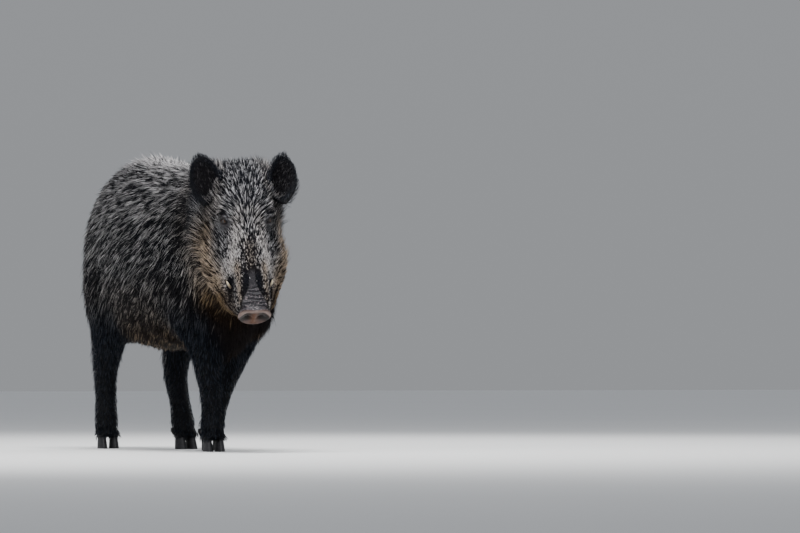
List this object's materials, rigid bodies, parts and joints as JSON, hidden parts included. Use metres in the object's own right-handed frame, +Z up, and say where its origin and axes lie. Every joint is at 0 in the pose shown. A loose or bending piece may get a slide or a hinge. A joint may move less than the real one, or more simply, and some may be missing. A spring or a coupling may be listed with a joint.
{
  "type": "wild boar",
  "caption": "Life-size still model of a wild boar in mid-stride, head lowered and turned to its right, with a bristly grizzled coat, upright ears, a disc snout and short tusks.",
  "frame": {"origin": "on the floor under the middle of the box round the whole animal", "axes": "+Z up, -Y the way the boar walks, +X to its left"},
  "size_m": [0.4076, 1.4349, 0.8491],
  "materials": {
    "coat": "coarse grizzled bristles, black at the root and pale at the tip, over dark skin",
    "ear": "short black hair over thin skin",
    "snout": "bare, slightly moist, wrinkled skin",
    "tusk": "smooth ivory, stained at the root",
    "claw": "dull dark horn, worn at the rim",
    "eye": "wet, glossy dark brown"
  },
  "bodies": {
    "root": {"claw_front_left_left": "claw", "claw_front_left_right": "claw", "claw_front_right_left": "claw", "claw_front_right_right": "claw", "claw_hind_left_left": "claw", "claw_hind_left_right": "claw", "claw_hind_right_left": "claw", "claw_hind_right_right": "claw", "dewclaw_front_left_left": "claw", "dewclaw_front_left_right": "claw", "dewclaw_front_right_left": "claw", "dewclaw_front_right_right": "claw", "dewclaw_hind_left_left": "claw", "dewclaw_hind_left_right": "claw", "dewclaw_hind_right_left": "claw", "dewclaw_hind_right_right": "claw", "ear_left": "ear", "ear_right": "ear", "eye_left": "eye", "eye_right": "eye", "head": "coat", "leg_front_left": "coat", "leg_front_right": "coat", "leg_hind_left": "coat", "leg_hind_right": "coat", "lower_jaw": "coat", "neck": "coat", "snout": "snout", "tail": "coat", "trunk": "coat", "tusk_left": "tusk", "tusk_right": "tusk"}
  },
  "joints": []
}
